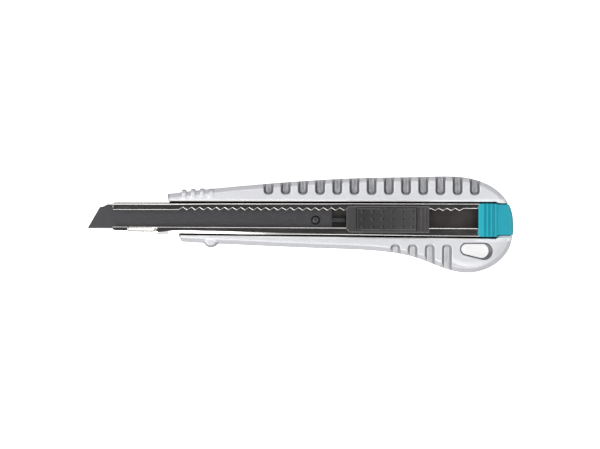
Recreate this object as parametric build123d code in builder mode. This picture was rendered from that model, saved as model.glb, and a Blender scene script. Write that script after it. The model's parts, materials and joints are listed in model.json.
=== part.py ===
"""Snap-off blade utility knife: cast handle, steel blade guide, locking slider and end cap.

Frame: X runs along the knife with the blade tip towards -X, Y runs across it with the long row of
thumb grooves on the +Y edge, and Z rises from the flat back (Z = 0) to the slider side. X = 0 is
halfway along the closed knife and Y = 0 lies on the middle of the blade guide.
All sizes are in millimetres.
"""

from build123d import *
import os
from math import radians, sin, tan

os.makedirs("parts", exist_ok=True)

# ---- heights, from the back upwards ------------------------------------------------------------
face_z = 9.6  # front face of the casting
seat_z = 5.6  # floor of the casting's channel, which the guide lies on
sheet = 0.5  # steel sheet of the guide and of the carrier plate
guide_top_z = 8.8
guide_floor_z = seat_z + sheet
lip_under_z = guide_top_z - sheet
slip = 0.05  # play under the carrier plate
fit = 0.03  # radial play between a rivet or pin and its hole
seam = 0.02  # gap left between faces that touch
over = 1.0  # how far cutting shapes run past the metal
plate_z = guide_floor_z + slip
plate_top_z = plate_z + sheet

# ---- handle casting ----------------------------------------------------------------------------
nose_upper = (-49.95, 8.51)
nose_lower = (-45.02, -7.92)
jaw_upper_root = (-49.55, 6.03)
jaw_lower_root = (-46.11, -5.62)
outline_points = [
    nose_upper,
    (-31.78, 10.62),
    (-10.12, 12.56),
    (15.17, 14.08),
    (40.46, 14.67),
    (53.95, 14.16),
    (62.38, 10.87),
    (67.5, 5.4),
    (69.1, -2.53),
    (67.6, -10.2),
    (61.95, -15.98),
    (53.45, -18.35),
    (45.9, -16.95),
    (36.2, -13.34),
    (25.29, -11.2),
    (4.21, -10.08),
    (-20.23, -9.13),
    nose_lower,
]
bevel_width = 1.65  # sloping band round the front face
bevel_drop = 1.3
face_round = 1.2  # rounding between the band and the face
back_round = 2.2

channel_upper_y = 6.03
channel_lower_y_nose = -5.62  # the lower wall runs outwards towards the tail
channel_lower_y_tail = -6.6
channel_step_x = 63.31  # from here to the tail the channel is narrower
channel_step = 0.5
channel_ledge = 1.1  # step of the lower wall below the guide's top, which leaves a ledge there
channel_edge = 0.5  # chamfer along the channel's edges
nose_x = -50.58
tail_x = 69.1

groove_pitch = 5.91
groove_width = 3.65
groove_depth = 1.4
groove_slope = 35
groove_corner = 1.5
groove_reach = 13.49
upper_groove_x = -15.17
upper_groove_count = 13
upper_groove_y = 8.25
lower_groove_x = 28.49
lower_groove_count = 4
lower_groove_y = -8.51

nose_rib_x = -44.25
nose_rib_pitch = 3.12
nose_rib_width = 1.4
nose_ribs_proud = (0.9, 0.75, 0.55, 0.15)
nose_rib_section = [  # (from the top of the rib, from the face), in the YZ plane
    (-3.6, -0.2),
    (-2.9, 0.3),
    (-1.3, 0.34),
    (-0.4, -0.3),
    (0.0, -1.4),
    (0.0, -3.4),
    (-1.1, -5.5),
    (-3.6, -5.5),
]

boss_x = -34.95
boss_y = -7.3
boss_radius = 2.57
boss_foot_z = 0.6
boss_z = 9.25
boss_slope = 0.8

lanyard_small = ((52.95, -10.21), 1.75)
lanyard_large = ((58.98, -10.93), 2.48)
lanyard_edge = 0.6

# ---- blade guide -------------------------------------------------------------------------------
guide_nose_x = -68.7
guide_tail_x = 60.7
guide_upper_y = 5.56
guide_lower_y_nose = -5.13
guide_lower_y_tail = -6.05
guide_bend = 0.75
guide_corner = 0.6
lower_lip_nose_y = -2.75
lower_lip_tail_y = -2.98
upper_lip_nose_y = 2.95
upper_lip_tail_y = 3.6
tooth_pitch = 2.84
tooth_count = 34
first_notch_x = -44.59
notch_y = 3.67  # bottom of a notch
tooth_y = 2.83  # tip of a tooth
crimp_x = -57.58
crimp_y = -4.0
crimp_length = 10.12
crimp_width = 1.43
crimp_depth = 0.28
crimp_corner = 0.6
crimp_slope = 35
crimp_wall = 0.2  # how much smaller the crimp is under the lip, on each side

rivet_xs = (-38.78, 20.23)
rivet_shank = 1.25
rivet_head = 2.1
rivet_head_height = 0.45
rivet_tail_height = 0.6
rivet_sink = 0.25  # how far the formed end lies below the back
rivet_chamfer = 0.3

# ---- blade -------------------------------------------------------------------------------------
blade_thickness = 0.38
blade_z = plate_top_z + seam
blade_edge_y = -4.1
blade_spine_y = 4.9
blade_tip_x = -78.04
blade_corner_y = 3.95  # where the oblique end meets the relieved spine corner
blade_corner = ((-72.0, 4.22), (-70.8, 4.9))
blade_tail_x = 6.74
blade_bevel = 0.8
blade_edge_land = 0.02
segment_pitch = 5.0
segment_count = 14
segment_angle = 60
score_width = 0.16
score_depth = 0.1
tail_corner = 1.4

# ---- carriage ----------------------------------------------------------------------------------
peg_x = 1.06
peg_y = -0.36
peg_radius = 1.48
peg_top_radius = 0.97
peg_stem_radius = 0.84
peg_height = 1.2
peg_shoulder = 0.5
peg_dome = 0.12
blade_hole_radius = 1.6
pad_disc_radius = 2.61
tongue_width = 1.94
tongue_rise = 1.1
tongue_gap = 0.1  # between the tongue and the blade's tail
tongue_chamfer = 0.3
plate_corner = 1.0

slider_nose_x = 11.63
slider_tail_x = 40.04
slider_upper_y = 4.43
slider_lower_y = -4.55
flange_upper_y = 4.85
flange_lower_y = -4.38
front_block_x = 15.09
rear_block_x = 35.74
flange_top_z = 8.15
neck_y = 2.61
upper_z = 8.95  # underside of the part of the slider that lies over the lips
block_top_z = 10.3
rail_inner_upper_y = 3.89
rail_inner_lower_y = -3.98
ledge_z = 8.85
ledge_top_z = 9.25
ledge_reach = 1.4
slider_corner = 1.1
slider_upper_corner = 0.77
frame_round = 0.3
rear_rib_xs = (37.3, 38.7)
rear_rib_width = 0.6
rear_rib_corner = 0.27
rear_rib_inset = 0.5
pin_xs = (13.4, 37.94)
pin_radius = 0.67
pin_head_radius = 1.14
pin_head_height = 0.4
pin_top_z = 9.5
pin_chamfer = 0.2
pin_room = 0.1  # depth left over each pin

pad_gap = 0.15
pad_under_z = 10.05
pad_side_z = 11.3
pad_crown = 0.35
pad_round = 0.3
stem_x0 = 17.28
stem_x1 = 33.64
stem_y = 2.53
stud_columns = 6
stud_rows_y = (2.6, 0.0, -2.6)
stud_pitch = 3.42
stud_first_x = 16.95
stud_radius = 0.74
stud_tip_radius = 0.32
stud_sink = 0.3  # how far a stud's foot lies below the crown
stud_height = 0.36

lock_z = 8.05
lock_thickness = 0.7
lock_x0 = 15.6
lock_x1 = 35.24
lock_y = 2.53
lock_tip_y = 3.55
lock_notch = 25  # the notch that the tooth rests in, counted from the first
lock_pin_xs = (20.23, 30.85)
lock_pin_radius = 0.51
leaf_thickness = 0.22
leaf_x0 = 19.05
leaf_x1 = 31.87
leaf_width = 2.53
leaf_lean = 0.1  # how far the leaf's cut ends lean outwards

# ---- end cap -----------------------------------------------------------------------------------
cap_nose_x = 56.99
cap_upper_y = 5.44
cap_lower_y = -5.97
cap_rear_upper_y = 5.15
cap_rear_lower_y = -5.3
cap_top_z = 10.3
cap_rear_top_z = 10.0
cap_corner = 1.01
cap_gap = 0.1
cap_step = 0.3  # run of the step between the cap's two widths
cap_round = 0.4
cap_tail_round = 1.3
leg_nose_x = 53.53
leg_width = 1.1
leg_upper_y = 4.93
leg_lower_y = -5.02
cap_groove_xs = (59.3, 60.7, 62.1)
cap_groove_width = 0.84
cap_groove_depth = 0.75
snap_slot_width = 0.8
snap_slot_length = 9.6
snap_slot_depth = 4.0

pawl_x = first_notch_x + lock_notch * tooth_pitch


def save(part, name):
    """Label a finished piece and write it as one STEP file."""
    part.part.label = name
    export_step(part.part, f"parts/{name}.step")


def line_y(x, x0, y0, x1, y1):
    """Height of the straight line through two points at x."""
    return y0 + (y1 - y0) * (x - x0) / (x1 - x0)


def guide_lower_y(x):
    """Outer face of the guide's lower wall."""
    return line_y(x, guide_nose_x, guide_lower_y_nose, guide_tail_x, guide_lower_y_tail)


def channel_lower_y(x):
    """Lower wall of the casting's channel."""
    return line_y(x, jaw_lower_root[0], channel_lower_y_nose, channel_step_x, channel_lower_y_tail)


def outline_face():
    """Plan of the whole handle, as a face in the current sketch."""
    with BuildLine() as outline:
        Spline(*outline_points)
        Polyline(nose_lower, jaw_lower_root, jaw_upper_root, nose_upper)
    make_face(outline.line.edges())


def channel_face(grow, lower_step):
    """Plan of the casting's channel, widened by grow on each side, as a face in the sketch."""
    upper_y = channel_upper_y + grow
    lower_y = channel_lower_y_tail - grow
    step_x = channel_step_x + channel_step
    with BuildLine() as channel:
        Polyline(
            (nose_x - over, upper_y),
            (channel_step_x, upper_y),
            (step_x, upper_y - channel_step),
            (tail_x + over, upper_y - channel_step),
            (tail_x + over, lower_y + lower_step),
            (step_x, lower_y + lower_step),
            (channel_step_x, lower_y),
            (nose_x - over, channel_lower_y(nose_x - over) - grow),
            close=True,
        )
    make_face(channel.line.edges())


def cap_rear_face(lower_y):
    """Plan of the end cap's rear block, which steps in to its narrow end, as a face in the sketch."""
    with BuildLine() as block:
        Polyline(
            (guide_tail_x + cap_step, cap_upper_y),
            (channel_step_x, cap_upper_y),
            (channel_step_x + cap_step, cap_rear_upper_y),
            (tail_x + over, cap_rear_upper_y),
            (tail_x + over, cap_rear_lower_y),
            (channel_step_x + cap_step, cap_rear_lower_y),
            (channel_step_x, lower_y),
            (guide_tail_x + cap_step, lower_y),
            close=True,
        )
    make_face(block.line.edges())


# ---- handle casting ----------------------------------------------------------------------------
with BuildPart() as handle_casting:
    with BuildSketch():
        outline_face()
    extrude(amount=face_z)
    front_rim = handle_casting.faces().sort_by(Axis.Z)[-1].edges().sort_by(SortBy.LENGTH)[-1]
    chamfer(front_rim, length=bevel_drop, length2=bevel_width)
    face_rim = handle_casting.faces().sort_by(Axis.Z)[-1].edges().sort_by(SortBy.LENGTH)[-1]
    fillet(face_rim, radius=face_round)
    back_rim = handle_casting.faces().sort_by(Axis.Z)[0].edges().sort_by(SortBy.LENGTH)[-1]
    fillet(back_rim, radius=back_round)

    # half-round boss on the lower jaw, with sloping ends
    with BuildSketch(Plane.XZ.offset(-boss_y)):
        with BuildLine():
            Polyline(
                (boss_x, boss_foot_z),
                (boss_x + boss_radius - boss_slope, boss_foot_z),
                (boss_x + boss_radius, boss_foot_z + boss_slope),
                (boss_x + boss_radius, boss_z - boss_slope),
                (boss_x + boss_radius - boss_slope, boss_z),
                (boss_x, boss_z),
                close=True,
            )
        make_face()
    revolve(axis=Axis((boss_x, boss_y, 0), (0, 0, 1)))

    # raised ribs across the upper jaw, sloping down to the face
    for i, proud in enumerate(nose_ribs_proud):
        rib_x = nose_rib_x + i * nose_rib_pitch
        edge_y = line_y(rib_x, *nose_upper, *outline_points[1])
        top_y = edge_y + proud
        with BuildSketch(Plane.YZ.offset(rib_x - nose_rib_width / 2)):
            with BuildLine():
                Polyline(*[(top_y + dy, face_z + dz) for dy, dz in nose_rib_section], close=True)
            make_face()
        extrude(amount=nose_rib_width)

    # the channel that holds the guide, open at both ends, with sloping top edges and a ledge that
    # the wide front of the end cap passes over
    with BuildSketch(Plane.XY.offset(seat_z)):
        channel_face(0, channel_ledge)
    extrude(amount=guide_top_z - seat_z, mode=Mode.SUBTRACT)
    with BuildSketch(Plane.XY.offset(guide_top_z)):
        channel_face(0, channel_step)
    extrude(amount=face_z, mode=Mode.SUBTRACT)
    with BuildSketch(Plane.XY.offset(face_z)):
        channel_face(channel_edge, channel_step)
    extrude(amount=-channel_edge, taper=45, mode=Mode.SUBTRACT)

    # thumb grooves on both faces
    grooves = [(upper_groove_x + i * groove_pitch, upper_groove_y + groove_reach / 2)
               for i in range(upper_groove_count)]
    grooves += [(lower_groove_x + i * groove_pitch, lower_groove_y - groove_reach / 2)
                for i in range(lower_groove_count)]
    for plane, inward in ((Plane.XY.offset(face_z), -groove_depth), (Plane.XY, groove_depth)):
        with BuildSketch(plane):
            with Locations(*grooves):
                RectangleRounded(groove_width, groove_reach, groove_corner)
        extrude(amount=inward, taper=groove_slope, mode=Mode.SUBTRACT)

    # lanyard hole
    with BuildSketch():
        with BuildLine():
            for centre, radius in (lanyard_small, lanyard_large):
                CenterArc(centre, radius, 0, 360)
        make_hull()
    extrude(amount=face_z, mode=Mode.SUBTRACT)
    hole_rims = handle_casting.edges().filter_by(lambda e: abs(e.center().Z - face_z) < 0.01)
    hole_rims = hole_rims.filter_by_position(Axis.X, 50, 62).filter_by_position(Axis.Y, -14.5, -8)
    chamfer(hole_rims, length=lanyard_edge)

    # rivet holes, each with a recess in the back for the formed end
    with Locations(*[(x, 0, 0) for x in rivet_xs]):
        Cylinder(rivet_shank + fit, 3 * face_z, mode=Mode.SUBTRACT)
        Cylinder(rivet_head + fit, 2 * (rivet_sink + rivet_tail_height), mode=Mode.SUBTRACT)

save(handle_casting, "handle_casting")


# ---- blade guide: a steel channel whose two lips turn inwards over the blade ---------------------
with BuildPart() as blade_guide:
    with BuildSketch(Plane.XY.offset(seat_z)):
        with BuildLine():
            Polyline(
                (guide_nose_x, guide_upper_y),
                (guide_tail_x, guide_upper_y),
                (guide_tail_x, guide_lower_y_tail),
                (guide_nose_x, guide_lower_y_nose),
                close=True,
            )
        make_face()
    extrude(amount=guide_top_z - seat_z)
    corner_edges = blade_guide.edges().filter_by(Axis.Z).group_by(Axis.X)[0]
    fillet(corner_edges, radius=guide_corner)
    bends = blade_guide.edges().filter_by(lambda e: e.length > guide_tail_x)
    fillet(bends, radius=guide_bend)

    # hollow inside, as one slot from end to end
    with BuildSketch(Plane.XY.offset(guide_floor_z)):
        with BuildLine():
            Polyline(
                (guide_nose_x - over, guide_upper_y - sheet),
                (guide_tail_x + over, guide_upper_y - sheet),
                (guide_tail_x + over, guide_lower_y(guide_tail_x + over) + sheet),
                (guide_nose_x - over, guide_lower_y(guide_nose_x - over) + sheet),
                close=True,
            )
        make_face()
    extrude(amount=lip_under_z - guide_floor_z, mode=Mode.SUBTRACT)

    # opening between the lips, with the locking teeth along the upper one
    last_notch_x = first_notch_x + tooth_count * tooth_pitch
    teeth = []
    for i in range(tooth_count):
        teeth.append((first_notch_x + i * tooth_pitch, notch_y))
        teeth.append((first_notch_x + (i + 0.5) * tooth_pitch, tooth_y))
    with BuildSketch(Plane.XY.offset(lip_under_z - slip)):
        with BuildLine():
            Polyline(
                (guide_nose_x - over, upper_lip_nose_y),
                (first_notch_x - tooth_pitch / 2, upper_lip_nose_y),
                *teeth,
                (last_notch_x, upper_lip_tail_y),
                (guide_tail_x + over, upper_lip_tail_y),
                (guide_tail_x + over, lower_lip_tail_y),
                (guide_nose_x - over, lower_lip_nose_y),
                close=True,
            )
        make_face()
    extrude(amount=guide_top_z, mode=Mode.SUBTRACT)

    # a pressed crimp in the lower lip, near the nose, that steadies the blade
    with BuildSketch(Plane.XY.offset(guide_top_z)):
        with Locations((crimp_x, crimp_y)):
            RectangleRounded(crimp_length, crimp_width, crimp_corner)
    extrude(amount=-crimp_depth, taper=crimp_slope, mode=Mode.SUBTRACT)
    with BuildSketch(Plane.XY.offset(lip_under_z)):
        with Locations((crimp_x, crimp_y)):
            RectangleRounded(
                crimp_length - 2 * crimp_wall,
                crimp_width - 2 * crimp_wall,
                crimp_corner - crimp_wall,
            )
    extrude(amount=-crimp_depth, taper=crimp_slope)

    # countersunk rivet holes in the floor
    with Locations(*[Location((x, 0, guide_floor_z)) for x in rivet_xs]):
        Cylinder(rivet_shank + fit, 4 * sheet, mode=Mode.SUBTRACT)
        Cone(
            rivet_shank + fit,
            rivet_head + fit,
            rivet_head_height,
            align=(Align.CENTER, Align.CENTER, Align.MAX),
            mode=Mode.SUBTRACT,
        )

save(blade_guide, "blade_guide")


# ---- rivets that fix the guide to the casting, flush in the guide's floor -------------------------
with BuildPart() as guide_rivets:
    for x in rivet_xs:
        with BuildSketch(Plane.XZ):
            with BuildLine():
                Polyline(
                    (x, rivet_sink),
                    (x + rivet_head - rivet_chamfer, rivet_sink),
                    (x + rivet_head, rivet_sink + rivet_chamfer),
                    (x + rivet_head, rivet_sink + rivet_tail_height - fit),
                    (x + rivet_shank, rivet_sink + rivet_tail_height - fit),
                    (x + rivet_shank, guide_floor_z - rivet_head_height),
                    (x + rivet_head, guide_floor_z - seam),
                    (x, guide_floor_z - seam),
                    close=True,
                )
            make_face()
        revolve(axis=Axis((x, 0, 0), (0, 0, 1)))

save(guide_rivets, "guide_rivets")


# ---- blade: a scored strip with a bevelled edge, an oblique tip and a round tail hole --------------
with BuildPart() as blade:
    blade_top_z = blade_z + blade_thickness
    blade_mid_z = blade_z + blade_thickness / 2
    with BuildSketch(Plane.YZ.offset(blade_tip_x)):
        with BuildLine():
            Polyline(
                (blade_edge_y, blade_mid_z - blade_edge_land),
                (blade_edge_y + blade_bevel, blade_z),
                (blade_spine_y, blade_z),
                (blade_spine_y, blade_top_z),
                (blade_edge_y + blade_bevel, blade_top_z),
                (blade_edge_y, blade_mid_z + blade_edge_land),
                close=True,
            )
        make_face()
    extrude(amount=blade_tail_x - blade_tip_x)

    # oblique tip, relieved spine corner and clipped tail corners
    tip_run = (blade_corner_y - blade_edge_y) / tan(radians(segment_angle))
    with BuildSketch(Plane.XY.offset(blade_z - over)):
        with BuildLine():
            Polyline(
                (blade_tip_x, blade_edge_y),
                (blade_tip_x + tip_run, blade_corner_y),
                *blade_corner,
                (blade_tail_x - tail_corner, blade_spine_y),
                (blade_tail_x, blade_spine_y - tail_corner),
                (blade_tail_x, blade_edge_y + tail_corner),
                (blade_tail_x - tail_corner, blade_edge_y),
                close=True,
            )
        make_face()
    extrude(amount=blade_thickness + 2 * over, mode=Mode.INTERSECT)
    with Locations((peg_x, peg_y, blade_mid_z)):
        Cylinder(blade_hole_radius, blade_thickness + over, mode=Mode.SUBTRACT)

    # snap scores, on the face towards the back
    score_length = (blade_spine_y - blade_edge_y + over) / sin(radians(segment_angle))
    score_lean = (blade_spine_y - blade_edge_y) / 2 / tan(radians(segment_angle))
    scores = []
    for i in range(1, segment_count + 1):
        scores.append((blade_tip_x + i * segment_pitch + score_lean, (blade_spine_y + blade_edge_y) / 2))
    with BuildSketch(Plane.XY.offset(blade_z)):
        with Locations(*scores):
            Rectangle(score_length, score_width, rotation=segment_angle)
    extrude(amount=score_depth, mode=Mode.SUBTRACT)

save(blade, "blade")


# ---- carrier plate: lies on the guide's floor, carries the blade, the peg and the slider -----------
with BuildPart() as carrier_plate:
    with BuildSketch(Plane.XY.offset(plate_z)):
        with BuildLine():
            Polyline(
                (slider_nose_x, flange_lower_y),
                (slider_tail_x, flange_lower_y),
                (slider_tail_x, flange_upper_y),
                (slider_nose_x, flange_upper_y),
                close=True,
            )
        make_face()
        with Locations((peg_x, peg_y)):
            Circle(pad_disc_radius)
        with Locations(((peg_x + slider_nose_x) / 2, peg_y)):
            Rectangle(slider_nose_x - peg_x + over, tongue_width)
    extrude(amount=sheet)
    plate_corners = carrier_plate.edges().filter_by(Axis.Z).group_by(Axis.X)[-1]
    fillet(plate_corners, radius=plate_corner)

    # raised tongue that stops the blade's tail
    with BuildSketch(Plane.XY.offset(plate_top_z)):
        tongue_x = blade_tail_x + tongue_gap
        with Locations(((tongue_x + slider_nose_x) / 2, peg_y)):
            Rectangle(slider_nose_x - tongue_x, tongue_width)
    extrude(amount=tongue_rise)
    chamfer(carrier_plate.faces().sort_by(Axis.Z)[-1].edges(), length=tongue_chamfer)

    with Locations((peg_x, peg_y, plate_z)):
        Cylinder(peg_stem_radius + fit, 4 * sheet, mode=Mode.SUBTRACT)
    with Locations(*[(x, 0, plate_z) for x in pin_xs]):
        Cylinder(pin_radius + fit, 4 * sheet, mode=Mode.SUBTRACT)
        Cone(
            pin_head_radius + fit,
            pin_radius + fit,
            pin_head_height,
            align=(Align.CENTER, Align.CENTER, Align.MIN),
            mode=Mode.SUBTRACT,
        )

save(carrier_plate, "carrier_plate")


# ---- blade peg: riveted through the carrier plate, with a sloping flank and a domed end ------------
with BuildPart() as blade_peg:
    with BuildSketch(Plane.XZ.offset(-peg_y)):
        with BuildLine():
            foot = plate_top_z + seam / 2
            shoulder = foot + peg_shoulder
            top = foot + peg_height
            Polyline(
                (peg_x, plate_z + seam),
                (peg_x + peg_stem_radius, plate_z + seam),
                (peg_x + peg_stem_radius, foot),
                (peg_x + peg_radius, foot),
                (peg_x + peg_radius, shoulder),
                (peg_x + peg_top_radius, top - peg_dome),
                (peg_x + peg_top_radius / 2, top),
                (peg_x, top),
                close=True,
            )
        make_face()
    revolve(axis=Axis((peg_x, peg_y, 0), (0, 0, 1)))

save(blade_peg, "blade_peg")


# ---- slider body: two end blocks joined by rails, with the lips running in slots at its sides ------
with BuildPart() as slider_body:
    middle_x = (slider_nose_x + slider_tail_x) / 2
    with BuildSketch(Plane.XY.offset(plate_top_z + seam / 2)):
        with BuildLine():
            Polyline(
                (slider_nose_x, flange_lower_y),
                (slider_tail_x, flange_lower_y),
                (slider_tail_x, flange_upper_y),
                (slider_nose_x, flange_upper_y),
                close=True,
            )
        make_face()
    extrude(amount=flange_top_z - plate_top_z - seam / 2)
    with BuildSketch(Plane.XY.offset(flange_top_z)):
        with Locations((middle_x, 0)):
            Rectangle(slider_tail_x - slider_nose_x, 2 * neck_y)
    extrude(amount=upper_z - flange_top_z)

    # the visible frame over the lips, with clipped front corners
    with BuildSketch(Plane.XY.offset(upper_z)):
        with BuildLine():
            Polyline(
                (slider_nose_x + slider_corner, slider_lower_y),
                (slider_tail_x, slider_lower_y),
                (slider_tail_x, slider_upper_y),
                (slider_nose_x + slider_upper_corner, slider_upper_y),
                (slider_nose_x, slider_upper_y - slider_upper_corner),
                (slider_nose_x, slider_lower_y + slider_corner),
                close=True,
            )
        make_face()
    extrude(amount=block_top_z - upper_z)
    frame_rim = slider_body.faces().sort_by(Axis.Z)[-1].edges()
    fillet(frame_rim, radius=frame_round)

    # well for the thumb pad and the spring
    well_y = (rail_inner_upper_y + rail_inner_lower_y) / 2
    well_width = rail_inner_upper_y - rail_inner_lower_y
    with BuildSketch(Plane.XY.offset(plate_top_z)):
        with Locations(((front_block_x + rear_block_x) / 2, well_y)):
            Rectangle(rear_block_x - front_block_x, well_width)
    extrude(amount=face_z, mode=Mode.SUBTRACT)

    # ledges over the ends of the lock plate, which keep the pad in
    with BuildSketch(Plane.XY.offset(ledge_z)):
        with Locations(
            (front_block_x + ledge_reach / 2, 0),
            (rear_block_x - ledge_reach / 2, 0),
        ):
            Rectangle(ledge_reach, 2 * neck_y)
    extrude(amount=ledge_top_z - ledge_z)

    # two ribs across the rear block
    with BuildSketch(Plane.XZ.offset(-slider_lower_y - rear_rib_inset)):
        for x in rear_rib_xs:
            with Locations((x, block_top_z)):
                RectangleRounded(rear_rib_width, rear_rib_width, rear_rib_corner)
    extrude(amount=-(slider_upper_y - slider_lower_y - 2 * rear_rib_inset))

    # blind holes for the pins from the carrier plate
    with Locations(*[(x, 0, plate_top_z) for x in pin_xs]):
        Cylinder(
            pin_radius + fit,
            pin_top_z - plate_top_z + pin_room,
            align=(Align.CENTER, Align.CENTER, Align.MIN),
            mode=Mode.SUBTRACT,
        )

save(slider_body, "slider_body")


# ---- pins that hold the slider body on the carrier plate -------------------------------------------
with BuildPart() as slider_pins:
    for x in pin_xs:
        with BuildSketch(Plane.XZ):
            with BuildLine():
                Polyline(
                    (x, plate_z + seam),
                    (x + pin_head_radius, plate_z + seam),
                    (x + pin_radius, plate_z + pin_head_height),
                    (x + pin_radius, pin_top_z - pin_chamfer),
                    (x + pin_radius - pin_chamfer, pin_top_z),
                    (x, pin_top_z),
                    close=True,
                )
            make_face()
        revolve(axis=Axis((x, 0, 0), (0, 0, 1)))

save(slider_pins, "slider_pins")


# ---- lock plate: moves with the thumb pad; its tooth sits in a notch of the upper lip ---------------
with BuildPart() as lock_plate:
    with BuildSketch(Plane.XY.offset(lock_z)):
        with Locations(((lock_x0 + lock_x1) / 2, 0)):
            Rectangle(lock_x1 - lock_x0, 2 * lock_y)
        with BuildLine():
            half = (lock_tip_y - lock_y) * tooth_pitch / 2 / (notch_y - tooth_y)
            Polyline(
                (pawl_x - half, lock_y),
                (pawl_x, lock_tip_y),
                (pawl_x + half, lock_y),
                close=True,
            )
        make_face()
    extrude(amount=lock_thickness)
    with Locations(*[(x, 0, lock_z) for x in lock_pin_xs]):
        Cylinder(lock_pin_radius + fit, 4 * lock_thickness, mode=Mode.SUBTRACT)

save(lock_plate, "lock_plate")


# ---- thumb pad: crowned top with round studs, on a stem that reaches between the lips ----------------
with BuildPart() as thumb_pad:
    pad_x0 = front_block_x + pad_gap
    pad_x1 = rear_block_x - pad_gap
    pad_upper_y = rail_inner_upper_y - pad_gap
    pad_lower_y = rail_inner_lower_y + pad_gap
    with BuildSketch(Plane.XZ.offset(-pad_lower_y)):
        with BuildLine():
            Polyline(
                (pad_x0, pad_side_z),
                (pad_x0, pad_under_z),
                (pad_x1, pad_under_z),
                (pad_x1, pad_side_z),
            )
            ThreePointArc(
                (pad_x1, pad_side_z),
                ((pad_x0 + pad_x1) / 2, pad_side_z + pad_crown),
                (pad_x0, pad_side_z),
            )
        make_face()
    extrude(amount=-(pad_upper_y - pad_lower_y))
    pad_rim = thumb_pad.faces().sort_by(Axis.Z)[-1].edges()
    fillet(pad_rim, radius=pad_round)

    # studs, their feet sunk into the crown
    studs = []
    for i in range(stud_columns):
        stud_x = stud_first_x + i * stud_pitch
        across = (2 * stud_x - pad_x0 - pad_x1) / (pad_x1 - pad_x0)
        stud_z = pad_side_z + pad_crown * (1 - across ** 2)
        studs += [(stud_x, y, stud_z - stud_sink) for y in stud_rows_y]
    with Locations(*studs):
        Cone(
            stud_radius,
            stud_tip_radius,
            stud_height + stud_sink,
            align=(Align.CENTER, Align.CENTER, Align.MIN),
        )

    # stem and the two pins that hold the lock plate
    with BuildSketch(Plane.XY.offset(lock_z + lock_thickness + seam / 2)):
        with Locations(((stem_x0 + stem_x1) / 2, 0)):
            Rectangle(stem_x1 - stem_x0, 2 * stem_y)
    extrude(amount=pad_under_z - lock_z - lock_thickness)
    with BuildSketch(Plane.XY.offset(lock_z + slip)):
        with Locations(*[(x, 0) for x in lock_pin_xs]):
            Circle(lock_pin_radius)
    extrude(amount=lock_thickness)

save(thumb_pad, "thumb_pad")


# ---- return spring: a bowed steel leaf between the carrier plate and the lock plate ------------------
with BuildPart() as return_spring:
    leaf_mid_x = (leaf_x0 + leaf_x1) / 2
    leaf_foot_z = plate_top_z + seam
    leaf_crown_z = lock_z - seam
    with BuildSketch(Plane.XZ.offset(-leaf_width / 2)):
        with BuildLine():
            ThreePointArc(
                (leaf_x0, leaf_foot_z),
                (leaf_mid_x, leaf_crown_z - leaf_thickness),
                (leaf_x1, leaf_foot_z),
            )
            Line((leaf_x1, leaf_foot_z), (leaf_x1 + leaf_lean, leaf_foot_z + leaf_thickness))
            ThreePointArc(
                (leaf_x1 + leaf_lean, leaf_foot_z + leaf_thickness),
                (leaf_mid_x, leaf_crown_z),
                (leaf_x0 - leaf_lean, leaf_foot_z + leaf_thickness),
            )
            Line((leaf_x0 - leaf_lean, leaf_foot_z + leaf_thickness), (leaf_x0, leaf_foot_z))
        make_face()
    extrude(amount=leaf_width)

save(return_spring, "return_spring")


# ---- end cap: closes the channel, with two legs that plug into the guide ------------------------------
with BuildPart() as end_cap:
    # ribbed front over the guide's end
    front_z = guide_top_z + cap_gap
    with BuildSketch(Plane.XY.offset(front_z)):
        with Locations(((cap_nose_x + channel_step_x) / 2, (cap_upper_y + cap_lower_y) / 2)):
            Rectangle(channel_step_x - cap_nose_x, cap_upper_y - cap_lower_y)
    extrude(amount=cap_top_z - front_z)
    fillet(end_cap.edges().filter_by(Axis.Z).group_by(Axis.X)[0], radius=cap_corner)
    front_rim = end_cap.faces().sort_by(Axis.Z)[-1].edges().sort_by(Axis.X)[:-1]
    fillet(front_rim, radius=cap_round)
    with BuildSketch(Plane.XZ.offset(-cap_upper_y - over)):
        with Locations(*[(x, cap_top_z) for x in cap_groove_xs]):
            Rectangle(cap_groove_width, 2 * cap_groove_depth)
    extrude(amount=cap_upper_y - cap_lower_y + 2 * over, mode=Mode.SUBTRACT)

    # rear block, narrower beside the channel's ledge, trimmed to the handle's outline
    rear_z = seat_z + cap_gap
    with BuildSketch(Plane.XY.offset(rear_z)):
        cap_rear_face(cap_rear_lower_y)
    extrude(amount=front_z - rear_z)
    with BuildSketch(Plane.XY.offset(front_z)):
        cap_rear_face(cap_lower_y)
    extrude(amount=cap_rear_top_z - front_z)
    with BuildSketch():
        outline_face()
    extrude(amount=2 * face_z, mode=Mode.INTERSECT)
    tail_rim = end_cap.edges().filter_by(lambda e: abs(e.center().Z - cap_rear_top_z) < 0.01)
    fillet(tail_rim.sort_by(Axis.X)[-1], radius=cap_tail_round)

    # legs inside the guide
    leg_z = guide_floor_z + cap_gap
    leg_height = lip_under_z - cap_gap - leg_z
    leg_length = guide_tail_x + over - leg_nose_x
    with BuildSketch(Plane.XY.offset(leg_z)):
        for y in (leg_upper_y - leg_width / 2, leg_lower_y + leg_width / 2):
            with Locations((leg_nose_x + leg_length / 2, y)):
                Rectangle(leg_length, leg_width)
    extrude(amount=leg_height)

    # slot in the tail for snapping off used segments
    with Locations((tail_x, 0, (seat_z + cap_rear_top_z) / 2)):
        Box(2 * snap_slot_depth, snap_slot_length, snap_slot_width, mode=Mode.SUBTRACT)

save(end_cap, "end_cap")
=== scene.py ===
"""Looks for the utility knife: materials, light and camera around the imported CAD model."""

import json
import math

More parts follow.
